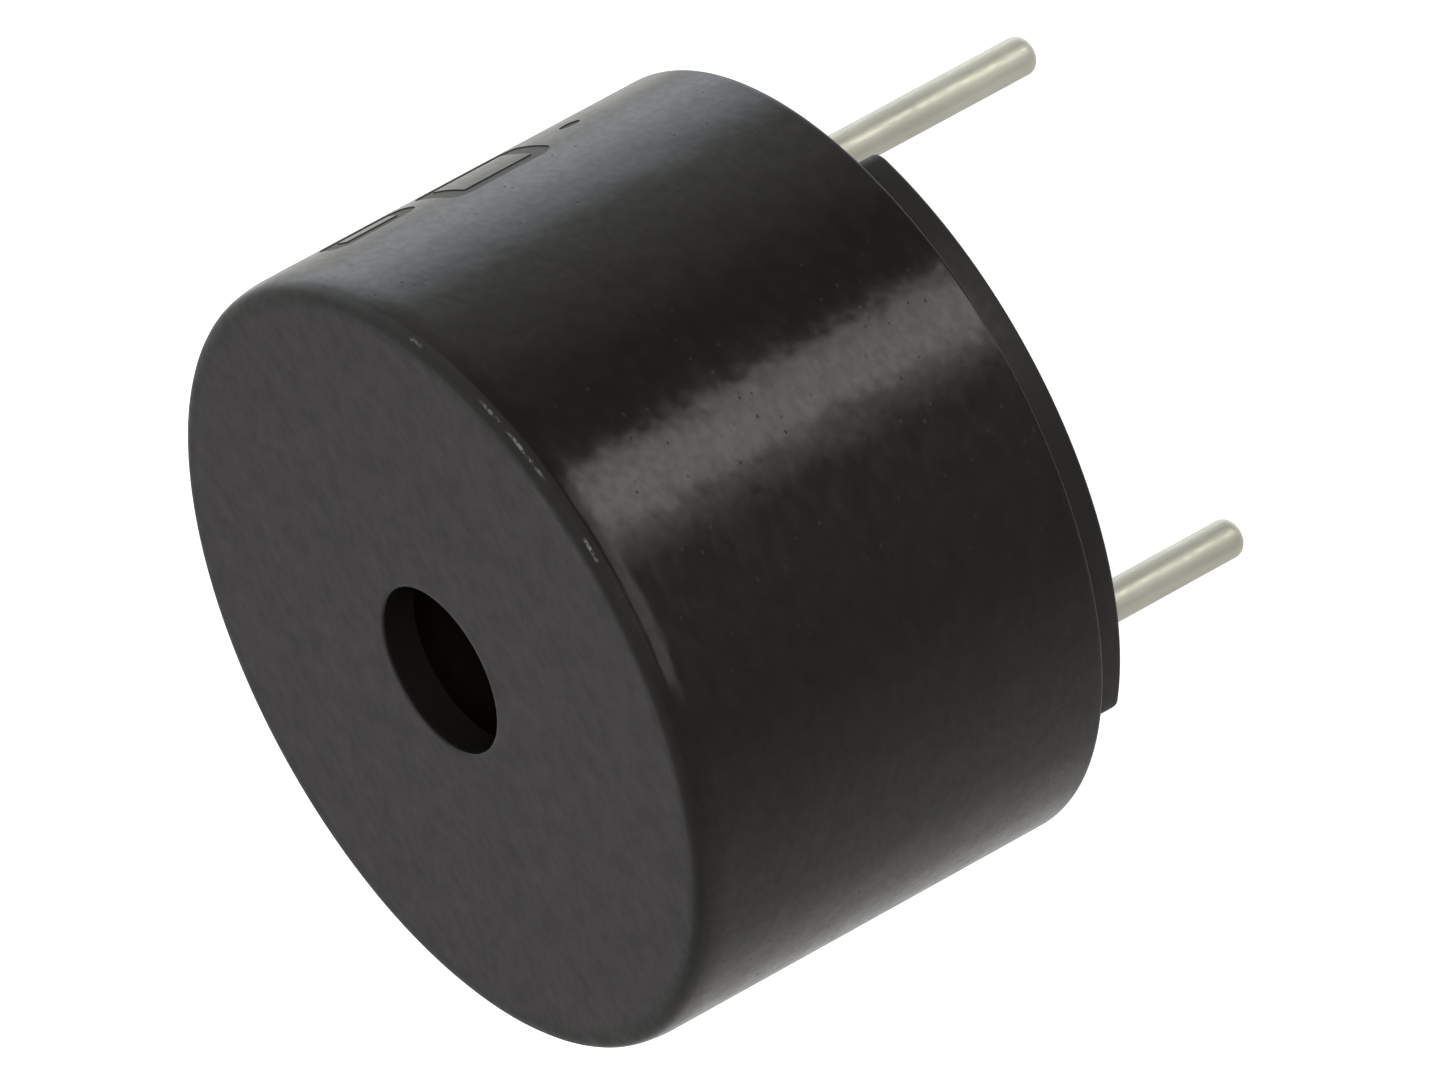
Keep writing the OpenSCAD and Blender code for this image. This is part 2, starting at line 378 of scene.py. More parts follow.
def noiseNode(tree, place, scale, detail, roughness):
    node = tree.nodes.new("ShaderNodeTexNoise")
    node.inputs["Detail"].default_value = detail
    node.inputs["Roughness"].default_value = roughness
    tree.links.new(place, node.inputs["Vector"])
    if isinstance(scale, (int, float)):
        node.inputs["Scale"].default_value = scale
    else:
        tree.links.new(scale, node.inputs["Scale"])
    return node.outputs["Fac"]


def ramp(tree, value, low, high, toLow=0.0, toHigh=1.0, smooth=True):
    node = tree.nodes.new("ShaderNodeMapRange")
    node.interpolation_type = "SMOOTHSTEP" if smooth else "LINEAR"
    tree.links.new(value, node.inputs["Value"])
    for label, setting in (("From Min", low), ("From Max", high), ("To Min", toLow), ("To Max", toHigh)):
        if isinstance(setting, (int, float)):
            node.inputs[label].default_value = setting
        else:
            tree.links.new(setting, node.inputs[label])
    return node.outputs["Result"]


def makeGrainGroup():
    # even fine grain as an eroded mould leaves it: a height in millimetres and a 0 to 1 tone
    inputs = {"Place": None, "Grain Size": 0.08, "Depth": 0.002}
    group, source, sink = startGroup("mouldGrain", inputs, ["Height", "Tone"])
    scale = maths(group, "DIVIDE", 1.0, source.outputs["Grain Size"])
    tone = noiseNode(group, source.outputs["Place"], scale, detail=3.0, roughness=0.6)
    height = maths(group, "MULTIPLY", tone, source.outputs["Depth"])
    group.links.new(height, sink.inputs["Height"])
    group.links.new(tone, sink.inputs["Tone"])
    return group


def makeSwellGroup():
    # slow unevenness of a moulded, dipped or poured surface
    inputs = {"Place": None, "Swell Size": 1.0, "Depth": 0.002}
    group, source, sink = startGroup("surfaceSwell", inputs, ["Height", "Tone"])
    scale = maths(group, "DIVIDE", 1.0, source.outputs["Swell Size"])
    tone = noiseNode(group, source.outputs["Place"], scale, detail=1.0, roughness=0.4)
    group.links.new(maths(group, "MULTIPLY", tone, source.outputs["Depth"]), sink.inputs["Height"])
    group.links.new(tone, sink.inputs["Tone"])
    return group


def makePitGroup():
    # sparse tiny pits: Share is the part of the cells that hold one
    inputs = {"Place": None, "Cell Size": 0.3, "Pit Size": 0.12, "Share": 0.3}
    group, source, sink = startGroup("tinyPits", inputs, ["Mask"])
    cells = group.nodes.new("ShaderNodeTexVoronoi")
    cells.feature = "F1"
    group.links.new(source.outputs["Place"], cells.inputs["Vector"])
    group.links.new(maths(group, "DIVIDE", 1.0, source.outputs["Cell Size"]), cells.inputs["Scale"])
    spot = ramp(group, cells.outputs["Distance"], source.outputs["Pit Size"], 0.0)
    pick = group.nodes.new("ShaderNodeSeparateColor")
    group.links.new(cells.outputs["Color"], pick.inputs["Color"])
    chosen = maths(group, "LESS_THAN", pick.outputs[0], source.outputs["Share"])
    group.links.new(maths(group, "MULTIPLY", spot, chosen), sink.inputs["Mask"])
    return group


# painted highlight: broken light glints on the front edge, in given stretches round it
paintedEdgeGlints = {
    # direction and half width of each stretch of painted glint along the front edge, in degrees
    "stretches": [(-55, 8), (-74, 2), (-33, 2), (38, 6), (97, 3), (141, 7)],
    "breakScale": 5.0,
    "breakEdge": (0.44, 0.62),  # tones of the noise between which the painted glint breaks off
}


def makePaintedGlintGroup():
    # painted highlight: broken light glints along a round edge that has a radius and a level
    inputs = {"Place": None, "Edge Radius": 6.0, "Edge Level": 7.6, "Width": 0.2}
    group, source, sink = startGroup("roundEdgePaintedGlint", inputs, ["Mask"])
    place = source.outputs["Place"]
    across, away = aroundAxis(group, place)
    parts = group.nodes.new("ShaderNodeSeparateXYZ")
    group.links.new(place, parts.inputs[0])
    sideways = maths(group, "ABSOLUTE", maths(group, "SUBTRACT", across, source.outputs["Edge Radius"]))
    level = maths(group, "SUBTRACT", parts.outputs[2], source.outputs["Edge Level"])
    upways = maths(group, "ABSOLUTE", level)
    near = ramp(group, maths(group, "ADD", sideways, upways), source.outputs["Width"], 0.0)
    paintedGlintHere = None
    for turn, halfWidth in paintedEdgeGlints["stretches"]:
        stretch = ramp(group, facing(group, away, turn), cosine(halfWidth), cosine(halfWidth / 2))
        paintedGlintHere = stretch if paintedGlintHere is None else maths(group, "MAXIMUM", paintedGlintHere, stretch)
    breakNoise = noiseNode(group, place, paintedEdgeGlints["breakScale"], detail=3.0, roughness=0.7)
    shown = maths(group, "MULTIPLY", paintedGlintHere, ramp(group, breakNoise, *paintedEdgeGlints["breakEdge"]))
    group.links.new(maths(group, "MULTIPLY", near, shown), sink.inputs["Mask"])
    return group


grainGroup = makeGrainGroup()
swellGroup = makeSwellGroup()
pitGroup = makePitGroup()
paintedGlintGroup = makePaintedGlintGroup()
# the last group paints highlights: broken glints along a round edge
print("node groups: grain, swell, pits and painted edge glints")


# materials

def startMaterial(name, stretch=(1, 1, 1)):
    # gives the material, its tree and shader, and places on the piece in millimetres
    material = bpy.data.materials.new(name)
    material.use_nodes = True
    tree = material.node_tree
    shader = tree.nodes["Principled BSDF"]
    coords = tree.nodes.new("ShaderNodeTexCoord")
    place = tree.nodes.new("ShaderNodeMapping")
    place.inputs["Scale"].default_value = [part / mm for part in stretch]
    tree.links.new(coords.outputs["Object"], place.inputs["Vector"])
    return material, tree, shader, place.outputs["Vector"]


def useGroup(tree, group, place, **settings):
    # a setting is the name of an input in camelCase, as grainSize is for Grain Size
    node = tree.nodes.new("ShaderNodeGroup")
    node.node_tree = group
    tree.links.new(place, node.inputs["Place"])
    for label, value in settings.items():
        title = "".join(" " + c if c.isupper() else c for c in label).title().strip()
        node.inputs[title].default_value = value
    return node.outputs


def blendColours(tree, factor, under, over):
    # each colour is a plain one or a socket
    node = tree.nodes.new("ShaderNodeMix")
    node.data_type = "RGBA"
    tree.links.new(factor, node.inputs["Factor"])
    sockets = [socket for socket in node.inputs if socket.type == "RGBA"]
    for socket, colour in zip(sockets, (under, over)):
        if isinstance(colour, tuple):
            socket.default_value = (*colour, 1)
        else:
            tree.links.new(colour, socket)
    return next(socket for socket in node.outputs if socket.type == "RGBA")


def blendValues(tree, factor, first, second):
    node = tree.nodes.new("ShaderNodeMix")
    node.data_type = "FLOAT"
    for label, value in (("Factor", factor), ("A", first), ("B", second)):
        if isinstance(value, (int, float)):
            node.inputs[label].default_value = value
        else:
            tree.links.new(value, node.inputs[label])
    return node.outputs["Result"]


def addBump(tree, shader, height):
    # height is in millimetres
    bump = tree.nodes.new("ShaderNodeBump")
    bump.inputs["Distance"].default_value = mm
    tree.links.new(height, bump.inputs["Height"])
    tree.links.new(bump.outputs["Normal"], shader.inputs["Normal"])
    tree.links.new(bump.outputs["Normal"], shader.inputs["Coat Normal"])


toneSpan = (0.3, 0.7)  # nearly all of a noise's tones lie between these


# sizes and depths are in millimetres
caseLook = {
    "sideDark": (0.0060, 0.0054, 0.0046),
    "sideLight": (0.0086, 0.0079, 0.0068),
    "sideRoughness": (0.15, 0.20),
    "sideSpan": (0.32, 0.68),
    "faceDark": (0.0060, 0.0033, 0.0050),
    "faceLight": (0.0238, 0.0192, 0.0223),
    "faceRoughness": (0.43, 0.50),
    "faceGrain": 0.17,
    "faceDepth": 0.004,
    "faceMottle": 0.6,  # share of the larger blotches in the tone of the face
    "shine": 0.44,
    "holeRoughness": 0.38,
    "lineColour": (0.030, 0.028, 0.023),  # engraved lines
    "lineRoughness": 0.5,
    "ringStretch": (0.9, 0.9, 1.4),  # the side's grain runs round the axis
    "filmWeight": (0.0, 0.17),  # blotches of glossier skin on the side
    "filmSpan": (0.36, 0.64),
    "filmRoughness": 0.16,
    "filmSize": 0.15,
    "fineGrain": 0.09,
    "fineDepth": 0.0004,
    "mottleSize": 0.34,
    "mottleDepth": 0.007,
    "swellSize": 1.0,
    "swellDepth": 0.016,
    "unevenTurn": -78,  # where the mottle is deepest
    "unevenReach": (58, 28),
    "unevenLeast": 0.35,
}
# where the finishes meet, in millimetres: down from the front, and in from the side wall
caseMasks = {
    "faceLevel": (0.03, 0.004),
    "faceBorder": (0.28, 0.44),
    "matteLevel": (0.17, 0.03),
    "feetLevel": 0.02,  # below the rim
    "holeWall": (0.05, 0.02),  # out from the hole's radius
    "lineDepth": (0.006, 0.014),
    "lineEnd": (0.08, 0.06),
    "lineLevel": (0.35, 0.40),
}
# specks in the skin, dust, and a painted highlight: broken light glints on a line just inside the front
# edge, in millimetres
caseMarks = {
    "speckCell": 0.3,
    "speckSize": 0.15,
    "speckShare": 0.8,
    "speckDepth": 0.0014,
    "speckRoughness": 0.4,
    "dustCell": 1.3,
    "dustSize": 0.018,
    "dustShare": 0.10,
    "dustColour": (0.42, 0.42, 0.42),
    "glintIn": 0.098,
    "glintDown": 0.091,
    "glintWidth": 0.05,
    # painted highlight: the light colour of the glints on the front edge
    "paintedGlintColour": (0.17, 0.17, 0.16),
}


def casePlastic():
    material, tree, shader, place = startMaterial("casePlastic")
    parts = tree.nodes.new("ShaderNodeSeparateXYZ")
    tree.links.new(place, parts.inputs[0])
    level = parts.outputs[2]
    across, away = aroundAxis(tree, place)
    top, rim = caseTop / mm, caseRim / mm
    outer, hole = caseRadius / mm, holeRadius / mm

    def below(name):
        return ramp(tree, level, *(top - depth for depth in caseMasks[name]))

    def inward(name):
        return ramp(tree, across, *(outer - depth for depth in caseMasks[name]))

    # where things are: the matte face and feet, the hole's wall, the engraved lines
    onFace = maths(tree, "MULTIPLY", below("faceLevel"), inward("faceBorder"))
    feet = ramp(tree, level, rim, rim - caseMasks["feetLevel"])
    matte = maths(tree, "MAXIMUM", below("matteLevel"), feet)
    inHole = ramp(tree, across, *(hole + depth for depth in caseMasks["holeWall"]))
    belowSkin = maths(tree, "MULTIPLY", inward("lineDepth"), below("lineLevel"))
    inLines = maths(tree, "MULTIPLY", belowSkin, inward("lineEnd"))

    alongRings = tree.nodes.new("ShaderNodeMapping")
    alongRings.inputs["Scale"].default_value = caseLook["ringStretch"]
    tree.links.new(place, alongRings.inputs["Vector"])
    ringPlace = alongRings.outputs["Vector"]

    def grain(where, size, depth):
        return useGroup(tree, grainGroup, where, grainSize=size, depth=depth)

    def swelling(where, size, depth):
        return useGroup(tree, swellGroup, where, swellSize=size, depth=depth)

    def pits(where, cell, size, share):
        return useGroup(tree, pitGroup, where, cellSize=cell, pitSize=size, share=share)["Mask"]

    fine = grain(place, caseLook["fineGrain"], caseLook["fineDepth"])
    film = useGroup(tree, grainGroup, ringPlace, grainSize=caseLook["filmSize"])
    mottle = swelling(ringPlace, caseLook["mottleSize"], caseLook["mottleDepth"])
    swell = swelling(place, caseLook["swellSize"], caseLook["swellDepth"])
    faceGrain = swelling(place, caseLook["faceGrain"], caseLook["faceDepth"])
    specks = pits(ringPlace, caseMarks["speckCell"], caseMarks["speckSize"], caseMarks["speckShare"])
    dust = pits(place, caseMarks["dustCell"], caseMarks["dustSize"], caseMarks["dustShare"])
    # painted highlight: where the broken glints lie, just inside the front edge
    paintedGlint = useGroup(
        tree, paintedGlintGroup, place, edgeRadius=outer - caseMarks["glintIn"],
        edgeLevel=top - caseMarks["glintDown"], width=caseMarks["glintWidth"],
    )["Mask"]

    faceTone = blendValues(tree, caseLook["faceMottle"], faceGrain["Tone"], mottle["Tone"])
    faceTone = ramp(tree, faceTone, *toneSpan, smooth=False)
    facePlain = blendColours(tree, faceTone, caseLook["faceDark"], caseLook["faceLight"])
    sidePlain = blendColours(tree, mottle["Tone"], caseLook["sideDark"], caseLook["sideLight"])
    colour = blendColours(tree, onFace, sidePlain, facePlain)
    colour = blendColours(tree, inHole, colour, caseLook["sideDark"])
    colour = blendColours(tree, inLines, colour, caseLook["lineColour"])
    colour = blendColours(tree, dust, colour, caseMarks["dustColour"])
    # painted highlight: the glints are painted into the colour as a lighter line
    colour = blendColours(tree, paintedGlint, colour, caseMarks["paintedGlintColour"])
    tree.links.new(colour, shader.inputs["Base Color"])

    side = ramp(tree, mottle["Tone"], *caseLook["sideSpan"], *caseLook["sideRoughness"])
    side = maths(tree, "ADD", side, maths(tree, "MULTIPLY", specks, caseMarks["speckRoughness"]))
    face = ramp(tree, faceGrain["Tone"], *toneSpan, *caseLook["faceRoughness"])
    rough = blendValues(tree, matte, side, face)
    rough = blendValues(tree, inHole, rough, caseLook["holeRoughness"])
    rough = blendValues(tree, inLines, rough, caseLook["lineRoughness"])
    tree.links.new(rough, shader.inputs["Roughness"])

    hollow = maths(tree, "MAXIMUM", inHole, inLines)
    bare = maths(tree, "MAXIMUM", maths(tree, "MAXIMUM", matte, hollow), specks)
    filmWeight = ramp(tree, film["Tone"], *caseLook["filmSpan"], *caseLook["filmWeight"])
    tree.links.new(blendValues(tree, bare, filmWeight, 0.0), shader.inputs["Coat Weight"])
    shader.inputs["Coat Roughness"].default_value = caseLook["filmRoughness"]
    shader.inputs["Specular IOR Level"].default_value = caseLook["shine"]

    # the skin is most uneven about one direction
    wide, full = (cosine(angle) for angle in caseLook["unevenReach"])
    towards = facing(tree, away, caseLook["unevenTurn"])
    uneven = ramp(tree, towards, wide, full, caseLook["unevenLeast"], 1.0)
    mottled = maths(tree, "SUBTRACT", mottle["Height"], caseLook["mottleDepth"] / 2)
    mottled = maths(tree, "MULTIPLY", mottled, uneven)
    raised = maths(tree, "ADD", fine["Height"], maths(tree, "ADD", mottled, swell["Height"]))
    raised = maths(tree, "SUBTRACT", raised, maths(tree, "MULTIPLY", specks, caseMarks["speckDepth"]))
    # both heights vary about the same level, so that no step shows where the face begins
    above = (caseLook["fineDepth"] + caseLook["swellDepth"] - caseLook["faceDepth"]) / 2
    raised = maths(tree, "SUBTRACT", raised, above)
    addBump(tree, shader, blendValues(tree, onFace, raised, faceGrain["Height"]))
    return material


pinLook = {
    "dark": (0.60, 0.60, 0.51),
    "light": (0.80, 0.80, 0.69),
    "metallic": 0.8,
    "roughness": (0.38, 0.52),
    "swellSize": 0.4,
    "swellDepth": 0.02,
    "grainSize": 0.05,
    "grainDepth": 0.0008,
    "stretch": (1, 1, 0.35),  # the coat is drawn out along the pin
}


def tinnedPin():
    material, tree, shader, place = startMaterial("tinnedPin", pinLook["stretch"])
    shader.inputs["Metallic"].default_value = pinLook["metallic"]
    swell = useGroup(tree, swellGroup, place, swellSize=pinLook["swellSize"], depth=pinLook["swellDepth"])
    grain = useGroup(tree, grainGroup, place, grainSize=pinLook["grainSize"], depth=pinLook["grainDepth"])
    colour = blendColours(tree, swell["Tone"], pinLook["dark"], pinLook["light"])
    rough = ramp(tree, grain["Tone"], *toneSpan, *pinLook["roughness"])
    tree.links.new(colour, shader.inputs["Base Color"])
    tree.links.new(rough, shader.inputs["Roughness"])
    addBump(tree, shader, maths(tree, "ADD", swell["Height"], grain["Height"]))
    return material


def plainFinish(name, dark, light, rough, metallic=0.0, grainSize=0.08, depth=0.001, stretch=(1, 1, 1)):
    # a finish that is only grain: colour and roughness follow it
    material, tree, shader, place = startMaterial(name, stretch)
    shader.inputs["Metallic"].default_value = metallic
    grain = useGroup(tree, grainGroup, place, grainSize=grainSize, depth=depth)
    tree.links.new(blendColours(tree, grain["Tone"], dark, light), shader.inputs["Base Color"])
    tree.links.new(ramp(tree, grain["Tone"], *toneSpan, *rough), shader.inputs["Roughness"])
    addBump(tree, shader, grain["Height"])
    return material


plainLooks = {
    "ringPlastic": {"dark": (0.02, 0.02, 0.02), "light": (0.035, 0.035, 0.035), "rough": (0.4, 0.55)},
    # painted shade: the steel is coloured darker than bare steel, standing in for the shade on the
    # diaphragm seen through the sound hole
    "shadedSpringSteel": {
        "dark": (0.13, 0.09, 0.062), "light": (0.18, 0.125, 0.09), "rough": (0.4, 0.5),
        "metallic": 0.93, "grainSize": 0.15,
    },
    "softIron": {
        "dark": (0.24, 0.20, 0.17), "light": (0.34, 0.29, 0.25), "rough": (0.4, 0.5),
        "metallic": 0.95,
    },
    "magnetFerrite": {
        "dark": (0.03, 0.03, 0.033), "light": (0.06, 0.06, 0.064), "rough": (0.6, 0.8),
        "depth": 0.004,
    },
    "platedIron": {
        "dark": (0.5, 0.5, 0.49), "light": (0.62, 0.62, 0.6), "rough": (0.3, 0.45),
        "metallic": 1,
    },
    "copperWire": {
        "dark": (0.45, 0.16, 0.06), "light": (0.62, 0.26, 0.10), "rough": (0.25, 0.4),
        "metallic": 1, "grainSize": 0.06, "depth": 0.02, "stretch": (0.05, 0.05, 1),
    },
    "boardLaminate": {
        "dark": (0.03, 0.10, 0.04), "light": (0.05, 0.15, 0.06), "rough": (0.35, 0.5),
        "grainSize": 0.3,
    },
    "chipPlastic": {"dark": (0.015, 0.015, 0.016), "light": (0.03, 0.03, 0.031), "rough": (0.5, 0.65)},
    "chipCeramic": {"dark": (0.70, 0.69, 0.64), "light": (0.82, 0.81, 0.77), "rough": (0.3, 0.45)},
    "solder": {
        "dark": (0.52, 0.52, 0.5), "light": (0.68, 0.68, 0.66), "rough": (0.2, 0.35),
        "metallic": 1, "grainSize": 0.3, "depth": 0.01,
    },
    "epoxyResin": {
        "dark": (0.010, 0.010, 0.010), "light": (0.016, 0.015, 0.015), "rough": (0.18, 0.28),
        "grainSize": 1.2, "depth": 0.01,
    },
}
finishes = {name: plainFinish(name, **look) for name, look in plainLooks.items()}
finishes["casePlastic"] = casePlastic()
finishes["tinnedPin"] = tinnedPin()
print("materials:", len(finishes))


# mesh helpers

weldGap = 1e-7  # metres
sameSpot = 2e-6
onPlane = 1e-8


def cleanMesh(bm):
    bmesh.ops.remove_doubles(bm, verts=bm.verts, dist=weldGap)
    bmesh.ops.recalc_face_normals(bm, faces=bm.faces)


def spinRound(bm, geom, steps):
    # a full turn round Z
    bmesh.ops.spin(
        bm, geom=geom, cent=(0, 0, 0), axis=(0, 0, 1), angle=math.tau, steps=steps,
        use_merge=True, use_duplicate=False,
    )
    cleanMesh(bm)


def ringEdges(bm, radius, level):
    # the edges that run round the axis at one radius and level
    def there(vert):
        return abs(vert.co.xy.length - radius) < sameSpot and abs(vert.co.z - level) < sameSpot
    return [edge for edge in bm.edges if there(edge.verts[0]) and there(edge.verts[1])]


def roundEdges(bm, edges, size, segments):
    bmesh.ops.bevel(
        bm, geom=edges, offset=size, offset_type="OFFSET", segments=segments, profile=0.5,
        affect="EDGES", material=-1, clamp_overlap=True,
    )


def extrudeUp(bm, height):
    # a flat shape becomes a solid
    raised = bmesh.ops.extrude_face_region(bm, geom=bm.faces[:])
    verts = [item for item in raised["geom"] if isinstance(item, bmesh.types.BMVert)]
    bmesh.ops.translate(bm, verts=verts, vec=(0, 0, height))
    bmesh.ops.recalc_face_normals(bm, faces=bm.faces)


def turned(bm, verts, angle):
    bmesh.ops.rotate(bm, verts=verts, cent=(0, 0, 0), matrix=Matrix.Rotation(angle, 3, "Z"))


def finishPiece(bm, name, finish, sharpAngle=32):
    for face in bm.faces:
        face.smooth = True
    for edge in bm.edges:
        edge.smooth = len(edge.link_faces) == 2 and edge.calc_face_angle() < math.radians(sharpAngle)
    mesh = bpy.data.meshes.new(name)
    bm.to_mesh(mesh)
    bm.free()
    mesh.materials.append(finishes[finish])
    piece = bpy.data.objects.new(name, mesh)
    scene.collection.objects.link(piece)
    return piece


def combine(piece, tool, operation):
    # boolean of two closed meshes, applied
    change = piece.modifiers.new("shape", "BOOLEAN")
    change.operation = operation
    change.solver = "MANIFOLD"
    change.object = tool
    shaped = bpy.data.meshes.new_from_object(piece.evaluated_get(bpy.context.evaluated_depsgraph_get()))
    piece.modifiers.clear()
    old = piece.data
    piece.data = shaped
    bpy.data.meshes.remove(old)
    bpy.data.objects.remove(tool)


def standFor(piece, node):
    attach(piece, "root")
    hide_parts(node)


# housing

housingShape = {
    "steps": 256,
    "frontEdge": 0.2 * mm,  # rounded edges, and the rows of faces across each
    "frontRows": 6,
    "holeEdge": 0.03 * mm,
    "holeRows": 3,
    "rearEdge": 0.05 * mm,
    "rearRows": 3,
    "hold": 0.1 * mm,  # loops that keep the flat faces flat beside the rounded edges
    "faceHold": 0.36 * mm,
    "sinkStart": 0.24 * mm,  # the side sinks slightly toward the front edge
    "sinkHeight": 0.24 * mm,
    "sinkDepth": 0.022 * mm,
    "sinkRows": 8,
    "shoulderWidth": 0.55 * mm,
}
footShape = {
    "inset": 0.15 * mm,  # from the side wall
    "step": 0.05 * mm,  # from the bore
    "angle": 98,  # degrees from end to end
    "edge": 0.07 * mm,
    "edgeRows": 3,
    "cornerAngle": 60,  # degrees: what turns more than this is the outline, and is rounded
    "overlap": 0.1 * mm,  # into the rim
    "steps": 48,
    "endSteps": 10,
}


def sideSink():
    # radius and level down the sunk stretch of the side, from the front
    rows, depth = housingShape["sinkRows"], housingShape["sinkDepth"]
    start, height = housingShape["sinkStart"], housingShape["sinkHeight"]
    stretch = []
    for row in range(rows + 1):
        share = 1 - row / rows
        stretch.append((caseRadius - depth * share ** 2, caseTop - start - (1 - share) * height))
    return stretch


def makeCup():
    hold = housingShape["hold"]
    wallTop = caseTop - frontWall
    chamber = boreRadius - housingShape["shoulderWidth"]
    sink = sideSink()
    slope = 2 * housingShape["sinkDepth"] / housingShape["sinkHeight"]
    sunkRadius = sink[0][0] - slope * housingShape["sinkStart"]
    outline = [
        (holeRadius, caseTop), (holeRadius + hold, caseTop),
        (caseRadius - housingShape["faceHold"], caseTop), (sunkRadius, caseTop), *sink,
        (caseRadius, caseRim + hold), (caseRadius, caseRim), (caseRadius - hold, caseRim),
        (boreRadius, caseRim), (boreRadius, shoulder), (chamber, shoulder),
        (chamber, wallTop), (holeRadius, wallTop), (holeRadius, caseTop - hold),
    ]
    bm = bmesh.new()
    verts = [bm.verts.new((radius, 0, level)) for radius, level in outline]
    edges = [bm.edges.new(pair) for pair in zip(verts, verts[1:] + verts[:1])]
    spinRound(bm, verts + edges, housingShape["steps"])
    roundEdges(bm, ringEdges(bm, sunkRadius, caseTop), housingShape["frontEdge"], housingShape["frontRows"])
    roundEdges(bm, ringEdges(bm, holeRadius, caseTop), housingShape["holeEdge"], housingShape["holeRows"])
    roundEdges(bm, ringEdges(bm, caseRadius, caseRim), housingShape["rearEdge"], housingShape["rearRows"])
    return bm


def makeFoot():
    # one arc on the rim, centred on +Y, with rounded ends
    inner, outer = boreRadius + footShape["step"], caseRadius - footShape["inset"]
    middleRadius = (inner + outer) / 2
    endAngle = math.asin((outer - inner) / 2 / middleRadius)
    sweep = math.radians(footShape["angle"]) - 2 * endAngle
    bm = bmesh.new()
    across = [bm.verts.new((radius, 0, standOffFoot)) for radius in (inner, middleRadius, outer)]
    strip = [bm.edges.new(pair) for pair in zip(across, across[1:])]
    turned(bm, across, math.radians(90) - sweep / 2)
    swept = bmesh.ops.spin(
        bm, geom=across + strip, cent=(0, 0, 0), axis=(0, 0, 1), angle=sweep,
        steps=footShape["steps"], use_duplicate=False,
    )
    last = [item for item in swept["geom_last"] if isinstance(item, bmesh.types.BMEdge)]
    for edges, side in ((strip, -1), (last, 1)):
        outerEdge = max(edges, key=lambda edge: sum(vert.co.xy.length for vert in edge.verts))
        pivot = min(outerEdge.verts, key=lambda vert: vert.co.xy.length).co.copy()
        bmesh.ops.spin(
            bm, geom=[outerEdge, *outerEdge.verts], cent=pivot, axis=(0, 0, 1), angle=side * math.pi,
            steps=footShape["endSteps"], use_duplicate=False,
        )
    cleanMesh(bm)
    extrudeUp(bm, caseRim + footShape["overlap"] - standOffFoot)

    cornerAngle = math.radians(footShape["cornerAngle"])

    def onBottom(edge):
        return all(abs(vert.co.z - standOffFoot) < weldGap for vert in edge.verts)
    outline = [edge for edge in bm.edges if onBottom(edge) and edge.calc_face_angle() > cornerAngle]
    roundEdges(bm, outline, footShape["edge"], footShape["edgeRows"])
    return bm


# blank cells and a dot cut into the side at +X
cellShape = {
    # level of the middle, height, width and shift toward +Y
    "cells": [(3.87 * mm, 1.75 * mm, 1.50 * mm, 0), (5.72 * mm, 1.45 * mm, 0.86 * mm, 0.32 * mm)],
    "corner": 0.28 * mm,
    "cornerSteps": 6,
    "line": 0.28 * mm,
    "depth": 0.018 * mm,
    "cutterHeight": 0.1 * mm,
    "bendCuts": 7,  # on each side of the middle
    "bendStep": 0.1 * mm,
    "dotLevel": 2.3 * mm,
    "dotRadius": 0.16 * mm,
    "dotSteps": 24,
}


def wrapCutter(bm):
    # a flat cutter at the origin is raised through the wall's surface and bent round it
    deep = caseRadius - cellShape["depth"]
    extrudeUp(bm, cellShape["cutterHeight"])
    for vert in bm.verts:
        angle, level, out = vert.co.x / caseRadius, vert.co.y, deep + vert.co.z
        vert.co = (out * math.cos(angle), out * math.sin(angle), level)
    bmesh.ops.recalc_face_normals(bm, faces=bm.faces)
    if bm.calc_volume(signed=True) < 0:
        bmesh.ops.reverse_faces(bm, faces=bm.faces[:])
    return bm


def makeCell(level, height, width, shift):
    # a square of side 1 gets the cell's size, round corners and an inset line, and loses its middle
    bm = bmesh.new()
    bmesh.ops.create_grid(bm, x_segments=1, y_segments=1, size=0.5)
    bmesh.ops.scale(bm, verts=bm.verts, vec=(width, height, 1))
    bmesh.ops.bevel(
        bm, geom=bm.verts[:], offset=cellShape["corner"], segments=cellShape["cornerSteps"],
        profile=0.5, affect="VERTICES", material=-1,
    )
    bmesh.ops.inset_region(
        bm, faces=bm.faces[:], thickness=cellShape["line"], use_boundary=True, use_even_offset=True,
    )
    inner = min(bm.faces, key=lambda face: face.calc_center_median().length)
    bmesh.ops.delete(bm, geom=[inner], context="FACES_ONLY")
    for cut in range(-cellShape["bendCuts"], cellShape["bendCuts"] + 1):
        bmesh.ops.bisect_plane(
            bm, geom=bm.verts[:] + bm.edges[:] + bm.faces[:], dist=onPlane,
            plane_co=(cut * cellShape["bendStep"], 0, 0), plane_no=(1, 0, 0),
        )
    bmesh.ops.translate(bm, verts=bm.verts, vec=(shift, level, 0))
    return wrapCutter(bm)


def makeDot():
    bm = bmesh.new()
    bmesh.ops.create_circle(
        bm, cap_ends=True, segments=cellShape["dotSteps"], radius=cellShape["dotRadius"],
    )
    bmesh.ops.translate(bm, verts=bm.verts, vec=(0, cellShape["dotLevel"], 0))
    return wrapCutter(bm)


